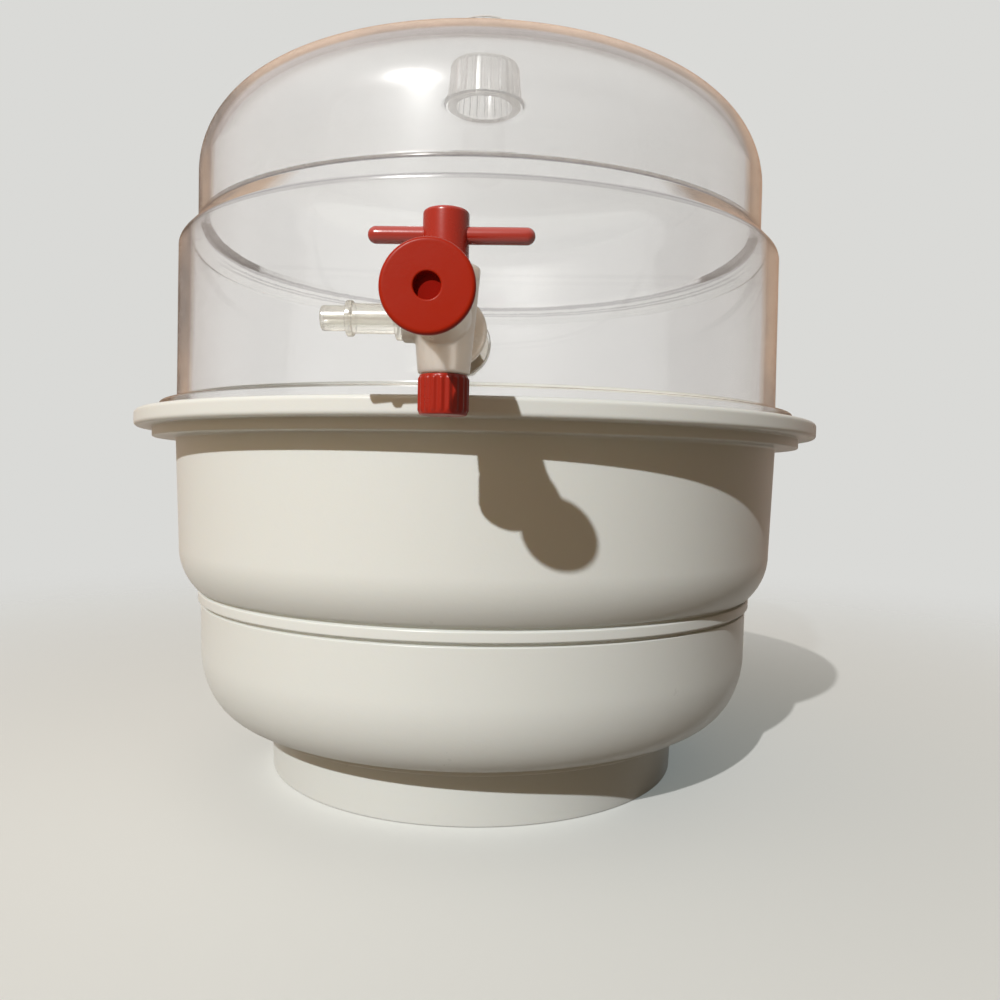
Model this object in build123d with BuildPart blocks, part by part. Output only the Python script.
from build123d import *

import math
import os

# Vacuum desiccator, nominal bore 250 mm: bowl, domed lid with knob, three-way tap, plate, tray.
# Millimetres, +Z up. Origin: centre of the foot ring on the table.
# The tap points to -Y (front), its hose nozzle to -X.
# Names: _r radius, _t thickness, _z and _y places on the axes.

os.makedirs("parts", exist_ok=True)

# =============================================================== sizes shared by several pieces
play = 0.05  # gap between pieces that lie together

# bowl
floor_z = 28.4  # inside floor
ledge_z = 84.0  # ledge that carries the perforated plate
groove_in_r = 129.9  # flange groove
groove_out_r = 135.1
groove_floor_z = 142.7

# flange ring, in the middle of the groove, with the lid on top of it
ring_section_r = 2.5
ring_r = (groove_in_r + groove_out_r) / 2
ring_z = groove_floor_z + play + ring_section_r
lid_low_z = ring_z + ring_section_r + play

# lid
crown_top_z = 294.9
land_z = crown_top_z  # flat land under the knob

# tap: horizontal axis at height tap_z, upright plug axis at plug_y
tap_z = 166.3
plug_y = -166.0
boss_in_y = -121.0  # inner face of the lid's boss
boss_out_y = -145.0  # outer end of the lid's neck
spigot_r = 4.6
spigot_bore_r = spigot_r + play  # bore of the seals and nut on the spigot
outer_seal_t = 1.5
inner_seal_t = 1.2
thread_r = 4.2  # threaded end of the vent neck
vent_end_y = -200.65
passage_r = 1.6
barrel_low_z = 152.1
barrel_top_z = 179.7
taper_low_r = 3.75  # tapered seat of the plug
taper_top_r = 5.05
taper_top_z = 174.6
port_x = -10.7  # end face of the side port
pocket_r = 3.1  # pocket in the side port
pocket_depth = 4.8
nozzle_seal_t = 0.85
shank_r = pocket_r - play  # nozzle's shank in the pocket
shank_len = pocket_depth - nozzle_seal_t - 2 * play
plug_groove_z = 176.1  # lower side of the plug's ring groove
plug_groove_h = 1.15
stud_r = 2.2  # stud below the plug
recess_z = barrel_low_z - 1.0  # floor of the washer's recess in the cap
bar_z = 187.9
bar_r = 2.25

plug_plane = Plane.XZ.offset(-plug_y)  # sketch coordinates are X and Z
plug_axis = Axis((0, plug_y, 0), (0, 0, 1))
tap_axis = Axis((0, 0, tap_z), (0, 1, 0))
port_axis = Axis((0, plug_y, tap_z), (1, 0, 0))


# =============================================================== helpers
def across_tap(y):
    """Plane centred on the tap's horizontal axis; extrusions go to -Y."""
    return Plane(origin=(0, y, tap_z), x_dir=(1, 0, 0), z_dir=(0, -1, 0))


def across_port(x, z=tap_z):
    """Plane across the X direction, centred over the plug axis; extrusions go to +X."""
    return Plane(origin=(x, plug_y, z), x_dir=(0, 1, 0), z_dir=(1, 0, 0))


def across_plug(z):
    """Plane centred on the plug's upright axis; extrusions go up."""
    return Plane(origin=(0, plug_y, z), x_dir=(1, 0, 0), z_dir=(0, 0, 1))


def corners(sketch, *points):
    """Vertices of a sketch that lie nearest to the given points."""
    return [
        min(sketch.vertices(), key=lambda v: math.hypot(v.X - x, v.Y - y)) for x, y in points
    ]


def save(builder, name):
    builder.part.label = name
    export_step(builder.part, f"parts/{name}.step")


def save_washer(name, plane, thickness, outer_r, hole_r=None):
    """Flat disc on a plane, with or without a hole."""
    with BuildPart() as washer:
        with BuildSketch(plane):
            Circle(outer_r)
            if hole_r is not None:
                Circle(hole_r, mode=Mode.SUBTRACT)
        extrude(amount=thickness)
    save(washer, name)


def save_o_ring(name, plane, axis, centre_r, centre_z, section_r):
    """Ring of round section about an upright axis."""
    with BuildPart() as o_ring:
        with BuildSketch(plane):
            with Locations((centre_r, centre_z)):
                Circle(section_r)
        revolve(axis=axis)
    save(o_ring, name)


# =============================================================== base bowl
foot_r_low = 89.1  # foot ring, outer radius on the table
foot_r_high = 90.0
foot_wall = 3.1
underside_z = 24.9  # underside within the foot ring
belly_z = 22.6  # underside between foot ring and bead
bead_r = 100.5
bead_top_z = 24.1
corner_r = bead_r - 0.3  # where the rounded lower corner starts
corner_z = 24.8
lower_r = 119.1  # lower wall, outer radius
lower_z = 53.0
bulge_mid = (126.3, 86.0)  # middle point of the bulge below the shoulder
shoulder_r = 128.0
shoulder_in_r = 124.4
shoulder_z = 95.6
upper_r = 129.5
strip_r = 138.4  # lower step of the flange
strip_z = 139.0
rim_r = 145.0  # flange, outer radius
rim_low_z = 142.8
rim_top_z = 149.1
rim_in_r = 137.0
seat_z = 147.0  # recess that the lid flange lies over
mouth_r = 126.0
ledge_in_r = 115.9
ledge_out_r = 123.2
ledge_wall_z = 89.0  # top of the straight wall above the ledge
lower_in_r = ledge_in_r - 0.3
floor_r = 98.0  # edge of the flat floor

# Outside of the wall from the lower groove, over the raised band, to past the upper groove: (r, z)
band_outline = [
    (119.3, 71.0), (118.2, 71.35), (118.2, 72.2), (120.5, 72.7),
    (120.5, 76.3), (119.2, 76.8), (119.2, 77.6), (121.0, 77.9),
]

with BuildPart() as base_bowl:
    with BuildSketch(Plane.XZ) as profile:
        with BuildLine():
            Polyline(
                (0, underside_z),
                (foot_r_high - foot_wall, underside_z),
                (foot_r_low - foot_wall, 0),
                (foot_r_low, 0),
                (foot_r_high, belly_z),
                (bead_r, belly_z),
                (bead_r, bead_top_z),
                (corner_r, corner_z),
            )
            EllipticalCenterArc(
                (corner_r, lower_z),
                lower_r - corner_r,
                lower_z - corner_z,
                start_angle=270,
                arc_size=90,
            )
            Polyline((lower_r, lower_z), *band_outline)
            ThreePointArc(band_outline[-1], bulge_mid, (shoulder_r, shoulder_z))
            Polyline(
                (shoulder_r, shoulder_z),
                (upper_r, strip_z),
                (strip_r, strip_z),
                (strip_r, rim_low_z),
                (rim_r, rim_low_z),
                (rim_r, rim_top_z),
                (rim_in_r, rim_top_z),
                (rim_in_r, seat_z),
                (groove_out_r, seat_z),
                (groove_out_r, groove_floor_z),
                (groove_in_r, groove_floor_z),
                (groove_in_r, seat_z),
                (mouth_r, seat_z),
                (mouth_r, strip_z),
                (shoulder_in_r, shoulder_z),
                (ledge_out_r, ledge_wall_z),
                (ledge_out_r, ledge_z),
                (ledge_in_r, ledge_z),
                (lower_in_r, lower_z),
            )
            EllipticalCenterArc(
                (floor_r, lower_z),
                lower_in_r - floor_r,
                lower_z - floor_z,
                start_angle=270,
                arc_size=90,
            )
            Polyline((floor_r, floor_z), (0, floor_z), (0, underside_z))
        make_face()
        fillet(corners(profile, (rim_r, rim_low_z), (rim_r, rim_top_z)), 1.5)
        fillet(
            corners(profile, (rim_in_r, rim_top_z), (strip_r, strip_z), (mouth_r, seat_z)), 0.6
        )
        fillet(corners(profile, (upper_r, strip_z), (ledge_in_r, ledge_z)), 1.0)
        fillet(
            corners(profile, (foot_r_low, 0), (foot_r_low - foot_wall, 0), (bead_r, belly_z)), 0.5
        )
        fillet(corners(profile, (foot_r_high, belly_z)), 0.8)
    revolve(axis=Axis.Z)
save(base_bowl, "base_bowl")

# =============================================================== flange ring
save_o_ring("flange_o_ring", Plane.XZ, Axis.Z, ring_r, ring_z, ring_section_r)

# =============================================================== lid: flanged, stepped dome
lid_flange_r = 135.8
lid_flange_z = 152.9
lid_wall = 4.5
lid_r_low = 129.2
lid_r_step = 128.9
step_low_z = 217.2  # sloping step, its two corners outside
step_high_z = 225.2
step_in_low_z = 217.4  # and inside
step_in_high_z = 227.6
dome_r = 121.5
knuckle_r = 33.9  # rounding between wall and crown
crown_r = 314.0
land_r = 17.6
crown_end_r = land_r + 1.2  # where the crown turns to the land
crown_mid_r = 50.0  # a point on the way up the crown

lid_in_r_low = lid_r_low - lid_wall
lid_in_r_step = lid_r_step - lid_wall
dome_in_r = dome_r - lid_wall
knuckle_in_r = knuckle_r - lid_wall
crown_in_r = crown_r - lid_wall

# centres of the knuckle and crown arcs, which meet tangentially
knuckle_centre_r = dome_r - knuckle_r
crown_centre_z = crown_top_z - crown_r
knuckle_z = crown_centre_z + math.sqrt((crown_r - knuckle_r) ** 2 - knuckle_centre_r**2)
joint_angle = math.atan2(knuckle_centre_r, knuckle_z - crown_centre_z)  # from +Z

# tap boss, neck and hole
boss_r = 10.2
boss_t = 6.0
neck_r = 6.5
neck_start_y = boss_in_y - 4.0  # buried in the boss
hole_r = 4.7
hole_start_y = boss_in_y + 2.0
hole_end_y = boss_out_y - 4.0


def on_crown(radius, r):
    return (r, crown_centre_z + math.sqrt(radius**2 - r**2))


def at_joint(radius):
    """Point where a crown arc of the given radius meets the knuckle."""
    return (
        radius * math.sin(joint_angle),
        crown_centre_z + radius * math.cos(joint_angle),
    )


def knuckle_mid(radius):
    """Point half way along a knuckle arc of the given radius."""
    angle = math.pi / 4 - joint_angle / 2
    return (knuckle_centre_r + radius * math.cos(angle), knuckle_z + radius * math.sin(angle))


with BuildPart() as lid:
    with BuildSketch(Plane.XZ) as profile:
        with BuildLine():
            Polyline(
                (lid_in_r_low, lid_low_z),
                (lid_flange_r, lid_low_z),
                (lid_flange_r, lid_flange_z),
                (lid_r_low, lid_flange_z),
                (lid_r_step, step_low_z),
                (dome_r, step_high_z),
                (dome_r, knuckle_z),
            )
            ThreePointArc((dome_r, knuckle_z), knuckle_mid(knuckle_r), at_joint(crown_r))
            ThreePointArc(
                at_joint(crown_r), on_crown(crown_r, crown_mid_r), on_crown(crown_r, crown_end_r)
            )
            Polyline(
                on_crown(crown_r, crown_end_r),
                (land_r, land_z),
                (0, land_z),
                (0, crown_top_z - lid_wall),
            )
            ThreePointArc(
                (0, crown_top_z - lid_wall),
                on_crown(crown_in_r, crown_mid_r),
                at_joint(crown_in_r),
            )
            ThreePointArc(
                at_joint(crown_in_r), knuckle_mid(knuckle_in_r), (dome_in_r, knuckle_z)
            )
            Polyline(
                (dome_in_r, knuckle_z),
                (dome_in_r, step_in_high_z),
                (lid_in_r_step, step_in_low_z),
                (lid_in_r_low, lid_low_z),
            )
        make_face()
        fillet(corners(profile, (lid_flange_r, lid_low_z), (lid_flange_r, lid_flange_z)), 0.8)
        fillet(corners(profile, (lid_r_low, lid_flange_z)), 2.0)
        fillet(corners(profile, (lid_in_r_low, lid_low_z)), 0.8)
        fillet(corners(profile, (lid_r_step, step_low_z)), 3.0)
        fillet(corners(profile, (dome_r, step_high_z)), 2.0)
        fillet(
            corners(profile, (dome_in_r, step_in_high_z), (lid_in_r_step, step_in_low_z)), 1.5
        )
    revolve(axis=Axis.Z)
    # flat boss for the tap inside the side wall, and a neck outside it
    with BuildSketch(across_tap(boss_in_y)):
        Circle(boss_r)
    extrude(amount=boss_t)
    with BuildSketch(across_tap(neck_start_y)):
        Circle(neck_r)
    extrude(amount=neck_start_y - boss_out_y)
    neck_edges = lid.edges().filter_by(GeomType.CIRCLE).filter_by(
        lambda e: abs(e.radius - neck_r) < 0.01
    )
    fillet(neck_edges.group_by(Axis.Y)[0], 0.4)
    with BuildSketch(across_tap(hole_start_y)):
        Circle(hole_r)
    extrude(amount=hole_start_y - hole_end_y, mode=Mode.SUBTRACT)
save(lid, "lid_dome")

# =============================================================== knob: hollow ribbed cup
knob_open_r = 12.8  # inner radius at the open lower end
knob_base_r = 16.2
knob_top_r = 15.2
knob_top_z = 327.0
knob_wall = 2.6
knob_in_r = knob_top_r - knob_wall
knob_ceiling_z = knob_top_z - knob_wall
rib_count = 24
rib_r = 0.8
rib_low_z = land_z + 1.2
rib_len = knob_top_z - land_z - 6.0

with BuildPart() as knob:
    with BuildSketch(Plane.XZ) as profile:
        with BuildLine():
            Polyline(
                (knob_open_r, land_z),
                (knob_base_r + 1.0, land_z),
                (knob_base_r, land_z + 1.6),
                (knob_top_r, knob_top_z),
                (0, knob_top_z),
                (0, knob_ceiling_z),
                (knob_in_r, knob_ceiling_z),
                (knob_open_r, land_z),
            )
        make_face()
        fillet(corners(profile, (knob_top_r, knob_top_z)), 3.4)
        fillet(corners(profile, (knob_in_r, knob_ceiling_z)), 2.0)
    revolve(axis=Axis.Z)
    # upright grip ribs
    with BuildSketch(Plane.XY.offset(rib_low_z)):
        with PolarLocations(knob_top_r + 0.35, rib_count):
            Circle(rib_r)
    extrude(amount=rib_len)
save(knob, "lid_knob")

# =============================================================== perforated plate
plate_r = 122.3
plate_t = 4.0
finger_hole_r = 11.0
plate_hole_r = 3.5
# circles of holes: (radius, count)
hole_circles = [(26.0, 8), (44.0, 14), (62.0, 20), (80.0, 26), (98.0, 32)]
stiffener_radii = (17.0, 71.0, 109.0)
stiffener_half_t = 1.2
stiffener_h = 2.5
lip_t = 3.0
lip_h = 1.5

with BuildPart() as plate:
    with BuildSketch(Plane.XY.offset(ledge_z)):
        Circle(plate_r)
        Circle(finger_hole_r, mode=Mode.SUBTRACT)
        for radius, count in hole_circles:
            # each circle is turned by as many degrees as its radius in mm
            with PolarLocations(radius, count, start_angle=radius):
                Circle(plate_hole_r, mode=Mode.SUBTRACT)
    extrude(amount=plate_t)
    # stiffening rings below, clear of the ledge
    for radius in stiffener_radii:
        with BuildSketch(Plane.XY.offset(ledge_z - stiffener_h)):
            Circle(radius + stiffener_half_t)
            Circle(radius - stiffener_half_t, mode=Mode.SUBTRACT)
        extrude(amount=stiffener_h)
    # raised lip round the edge
    with BuildSketch(Plane.XY.offset(ledge_z + plate_t)):
        Circle(plate_r)
        Circle(plate_r - lip_t, mode=Mode.SUBTRACT)
    extrude(amount=lip_h)
save(plate, "perforated_plate")

# =============================================================== desiccant tray
tray_r = 92.0  # outer radius of the wall below the rim
tray_foot_r = tray_r - 8.0
tray_rim_r = tray_r + 3.0
tray_in_top_r = tray_r - 2.0
tray_in_low_r = tray_r - 10.0
tray_low_z = floor_z + play
tray_floor_z = floor_z + 2.3
tray_rim_z = floor_z + 30.0
tray_top_z = tray_rim_z + 1.8

with BuildPart() as tray:
    with BuildSketch(Plane.XZ) as profile:
        with BuildLine():
            Polyline(
                (0, tray_low_z),
                (tray_foot_r, tray_low_z),
                (tray_r, tray_rim_z),
                (tray_rim_r, tray_rim_z),
                (tray_rim_r, tray_top_z),
                (tray_in_top_r, tray_top_z),
                (tray_in_low_r, tray_floor_z),
                (0, tray_floor_z),
                (0, tray_low_z),
            )
        make_face()
        fillet(corners(profile, (tray_foot_r, tray_low_z)), 4.0)
        fillet(corners(profile, (tray_in_low_r, tray_floor_z)), 2.5)
    revolve(axis=Axis.Z)
save(tray, "desiccant_tray")

# =============================================================== desiccant bed, heaped in the tray
bed_low_z = tray_floor_z + 0.1
bed_h = 14.0  # height at the edge
bed_heap = 1.5  # extra height in the middle
bed_low_r = tray_r - 14.0
tray_slope = (tray_in_top_r - tray_in_low_r) / (tray_top_z - tray_floor_z)
bed_top_r = tray_in_low_r + tray_slope * bed_h - 0.6

with BuildPart() as bed:
    with BuildSketch(Plane.XZ):
        with BuildLine():
            Polyline(
                (0, bed_low_z),
                (bed_low_r, bed_low_z),
                (bed_top_r, bed_low_z + bed_h),
                (0, bed_low_z + bed_h + bed_heap),
                (0, bed_low_z),
            )
        make_face()
    revolve(axis=Axis.Z)
save(bed, "desiccant_bed")

# =============================================================== tap body
spigot_in_y = -111.5  # spigot's end inside the lid
face_y = boss_out_y - outer_seal_t  # collar's back face
collar_r = 10.25
collar_y = face_y - 3.5  # collar's front face
tube_r = 5.6
barrel_top_r = 9.2
barrel_low_r = 6.75
stop_y = -185.4  # where the vent neck steps down to its thread
neck_end_r = 5.7
neck_root_r = 7.3
cone_start_y = -174.5
cone_end_y = -183.0
port_r = 6.1
passage_start_y = -110.0  # beyond both ends of the body
passage_end_y = -202.0
port_passage_x = -12.0

with BuildPart() as body:
    # threaded spigot, collar and tube on the horizontal axis
    with BuildSketch(across_tap(spigot_in_y)):
        Circle(spigot_r)
    extrude(amount=spigot_in_y - face_y)
    with BuildSketch(across_tap(face_y)):
        Circle(collar_r)
    extrude(amount=face_y - collar_y)
    chamfer(body.edges().filter_by(GeomType.CIRCLE).group_by(Axis.Y)[0], 1.0)
    with BuildSketch(across_tap(collar_y)):
        Circle(tube_r)
    extrude(amount=collar_y - plug_y)
    # upright tapered barrel
    with BuildSketch(plug_plane) as profile:
        with BuildLine():
            Polyline(
                (0, barrel_low_z),
                (barrel_low_r, barrel_low_z),
                (barrel_top_r, barrel_top_z),
                (0, barrel_top_z),
                (0, barrel_low_z),
            )
        make_face()
        fillet(
            corners(profile, (barrel_top_r, barrel_top_z), (barrel_low_r, barrel_low_z)), 0.7
        )
    revolve(axis=plug_axis)
    # vent neck, its cone and the threaded end
    with BuildSketch(across_tap(plug_y)):
        Circle(neck_end_r)
    extrude(amount=plug_y - stop_y)
    with BuildSketch(Plane.YZ):
        with BuildLine():
            Polyline(
                (plug_y, tap_z),
                (plug_y, tap_z + neck_root_r),
                (cone_start_y, tap_z + neck_root_r),
                (cone_end_y, tap_z + neck_end_r),
                (cone_end_y, tap_z),
                (plug_y, tap_z),
            )
        make_face()
    revolve(axis=tap_axis)
    with BuildSketch(across_tap(stop_y)):
        Circle(thread_r)
    extrude(amount=stop_y - vent_end_y)
    # side port for the hose nozzle
    with BuildSketch(across_port(port_x)):
        Circle(port_r)
    extrude(amount=-port_x)
    # tapered seat of the plug, with a straight lead at the top
    with BuildSketch(plug_plane):
        with BuildLine():
            Polyline(
                (0, barrel_low_z - 1),
                (taper_low_r, barrel_low_z - 1),
                (taper_low_r, barrel_low_z),
                (taper_top_r, taper_top_z),
                (taper_top_r, barrel_top_z + 1),
                (0, barrel_top_z + 1),
                (0, barrel_low_z - 1),
            )
        make_face()
    revolve(axis=plug_axis, mode=Mode.SUBTRACT)
    # passage from lid to vent, and passage to the hose
    with BuildSketch(across_tap(passage_start_y)):
        Circle(passage_r)
    extrude(amount=passage_start_y - passage_end_y, mode=Mode.SUBTRACT)
    with BuildSketch(across_port(port_passage_x)):
        Circle(passage_r)
    extrude(amount=-port_passage_x, mode=Mode.SUBTRACT)
    # pocket of the side port, for the nozzle's shank and seal
    with BuildSketch(across_port(port_x)):
        Circle(pocket_r)
    extrude(amount=pocket_depth, mode=Mode.SUBTRACT)
save(body, "tap_body")

# =============================================================== seals and nut on the spigot
outer_seal_r = 7.2
inner_seal_r = 9.4
nut_flat_r = 8.5  # centre to flat
nut_t = 6.0
nut_in_y = boss_in_y + inner_seal_t + nut_t  # face towards the middle of the lid

with BuildPart() as outer_seal:
    with BuildSketch(across_tap(boss_out_y)):
        Circle(outer_seal_r)
        Circle(spigot_bore_r, mode=Mode.SUBTRACT)
    extrude(amount=outer_seal_t)
    seal_edges = outer_seal.edges().filter_by(GeomType.CIRCLE)
    chamfer(seal_edges.filter_by(lambda e: e.radius > outer_seal_r - 0.1), 0.25)
save(outer_seal, "outer_seal_washer")

save_washer(
    "inner_seal_washer",
    across_tap(boss_in_y + inner_seal_t),
    inner_seal_t,
    inner_seal_r,
    spigot_bore_r,
)

with BuildPart() as lock_nut:
    with BuildSketch(across_tap(nut_in_y)):
        RegularPolygon(nut_flat_r, 6, major_radius=False)
    extrude(amount=nut_t)
    with BuildSketch(across_tap(nut_in_y + 1.0)):
        Circle(spigot_bore_r)
    extrude(amount=nut_t + 2.0, mode=Mode.SUBTRACT)
    chamfer(lock_nut.edges().group_by(Axis.Y)[-1].filter_by(GeomType.LINE), 0.7)
save(lock_nut, "lock_nut")

# =============================================================== hose nozzle on the side port
# closed outline: (x, radius)
nozzle_outline = [
    (port_x + shank_len, 1.5),
    (port_x + shank_len, shank_r),
    (port_x, shank_r),
    (port_x, 5.5),
    (port_x - 1.8, 5.5),
    (port_x - 1.8, 3.85),
    (-23.7, 3.85),
    (-23.7, 4.65),
    (-25.4, 4.65),
    (-25.4, 3.25),
    (-32.0, 3.25),
    (-32.0, 1.7),
    (port_x + shank_len, 1.5),
]

with BuildPart() as nozzle:
    with BuildSketch(Plane.XY.offset(tap_z)):
        with BuildLine():
            Polyline(*[(x, plug_y - radius) for x, radius in nozzle_outline])
        make_face()
    revolve(axis=port_axis)
    # rims of the collar and the bead, then the outer edge of the open end
    circles = nozzle.edges().filter_by(GeomType.CIRCLE)
    fillet(circles.filter_by(lambda e: 4.5 < e.radius < 5.6), 0.4)
    circles = nozzle.edges().filter_by(GeomType.CIRCLE)
    fillet(circles.group_by(Axis.X)[0].sort_by(SortBy.RADIUS)[-1], 0.5)
save(nozzle, "hose_nozzle")

save_washer(
    "nozzle_seal", across_port(port_x + shank_len + play), nozzle_seal_t, shank_r, hole_r=1.7
)

# =============================================================== plug: stud below, head above
stud_low_z = 143.7
plug_low_r = taper_low_r - play
plug_top_r = taper_top_r - play
plug_groove_r = 4.0
plug_groove_top_z = plug_groove_z + plug_groove_h
head_r = 6.0
head_low_z = barrel_top_z + 0.25
head_top_z = 194.1
plug_passage_r = 1.5
cut_reach = 8.0  # cross cuts start this far from the plug axis

with BuildPart() as plug:
    with BuildSketch(plug_plane) as profile:
        with BuildLine():
            Polyline(
                (0, stud_low_z),
                (stud_r, stud_low_z),
                (stud_r, recess_z),
                (plug_low_r, barrel_low_z + 0.2),
                (plug_top_r, taper_top_z + 0.1),
                (plug_top_r, plug_groove_z),
                (plug_groove_r, plug_groove_z),
                (plug_groove_r, plug_groove_top_z),
                (plug_top_r, plug_groove_top_z),
                (plug_top_r, head_low_z),
                (head_r, head_low_z),
                (head_r, head_top_z),
                (0, head_top_z),
                (0, stud_low_z),
            )
        make_face()
        fillet(corners(profile, (head_r, head_top_z)), 0.9)
        fillet(corners(profile, (head_r, head_low_z)), 0.3)
    revolve(axis=plug_axis)
    # cross hole for the bar
    with BuildSketch(across_port(-cut_reach, bar_z)):
        Circle(bar_r + 0.02)
    extrude(amount=2 * cut_reach, mode=Mode.SUBTRACT)
    # T passage: along the bar, with one leg to the lid
    with BuildSketch(across_port(-cut_reach)):
        Circle(plug_passage_r)
    extrude(amount=2 * cut_reach, mode=Mode.SUBTRACT)
    with BuildSketch(across_tap(plug_y + cut_reach)):
        Circle(plug_passage_r)
    extrude(amount=cut_reach, mode=Mode.SUBTRACT)
save(plug, "tap_plug")

save_o_ring(
    "plug_o_ring", plug_plane, plug_axis, 4.51, plug_groove_z + plug_groove_h / 2, section_r=0.48
)

# =============================================================== handle bar through the plug head
bar_len = 43.4
bar_x = 1.4  # middle of the bar

with BuildPart() as bar:
    with BuildSketch(across_port(bar_x - bar_len / 2, bar_z)):
        Circle(bar_r)
    extrude(amount=bar_len)
    fillet(bar.edges().filter_by(GeomType.CIRCLE), bar_r - 0.05)
save(bar, "plug_handle_bar")

# =============================================================== washer and cap below the plug
save_washer("plug_washer", across_plug(recess_z + play), 0.9, outer_r=4.8, hole_r=3.72)

cap_r = 6.4
cap_low_z = 141.5
cap_h = 10.45
cap_rib_count = 20
cap_rib_r = 0.42
cap_rib_inset = 0.9  # ribs stop this far from both ends
cap_bore_z = 143.5
recess_r = 4.87

with BuildPart() as cap:
    with BuildSketch(across_plug(cap_low_z)):
        Circle(cap_r)
    extrude(amount=cap_h)
    fillet(cap.edges().filter_by(GeomType.CIRCLE), 0.6)
    with BuildSketch(across_plug(cap_low_z + cap_rib_inset)):
        with PolarLocations(cap_r - 0.1, cap_rib_count):
            Circle(cap_rib_r)
    extrude(amount=cap_h - 2 * cap_rib_inset)
    # bore for the plug's stud, and the washer's recess
    with BuildSketch(across_plug(cap_bore_z)):
        Circle(stud_r + play)
    extrude(amount=10.0, mode=Mode.SUBTRACT)
    with BuildSketch(across_plug(recess_z)):
        Circle(recess_r)
    extrude(amount=2.0, mode=Mode.SUBTRACT)
save(cap, "plug_retaining_cap")

# =============================================================== vent knob and its gasket
vent_y = -205.7  # front face
vent_r = 10.45
disc_t = 2.4
hub_back_y = -189.0
hub_r = 5.9
hub_bore_r = thread_r + 0.06
gasket_t = 1.15
hub_floor_y = vent_end_y - gasket_t - 2 * play
dent_r = 3.0  # round dent in the front face
dent_y = vent_y + 2.3

# closed outline: (y, radius)
vent_outline = [
    (vent_y, dent_r),
    (vent_y, vent_r),
    (vent_y + disc_t, vent_r),
    (vent_y + disc_t, hub_r),
    (hub_back_y, hub_r),
    (hub_back_y, hub_bore_r),
    (hub_floor_y, hub_bore_r),
    (hub_floor_y, 0),
    (dent_y, 0),
    (dent_y, dent_r),
    (vent_y, dent_r),
]

with BuildPart() as vent:
    with BuildSketch(Plane.YZ):
        with BuildLine():
            Polyline(*[(y, tap_z + radius) for y, radius in vent_outline])
        make_face()
    revolve(axis=tap_axis)
    # both rims of the disc, then the front edge of the dent
    circles = vent.edges().filter_by(GeomType.CIRCLE)
    fillet(circles.filter_by(lambda e: e.radius > vent_r - 0.1), 0.9)
    circles = vent.edges().filter_by(GeomType.CIRCLE)
    fillet(circles.filter_by(lambda e: abs(e.radius - dent_r) < 0.01).group_by(Axis.Y)[0], 0.3)
save(vent, "vent_knob")

save_washer("vent_gasket", across_tap(vent_end_y - play), gasket_t, outer_r=4.0)
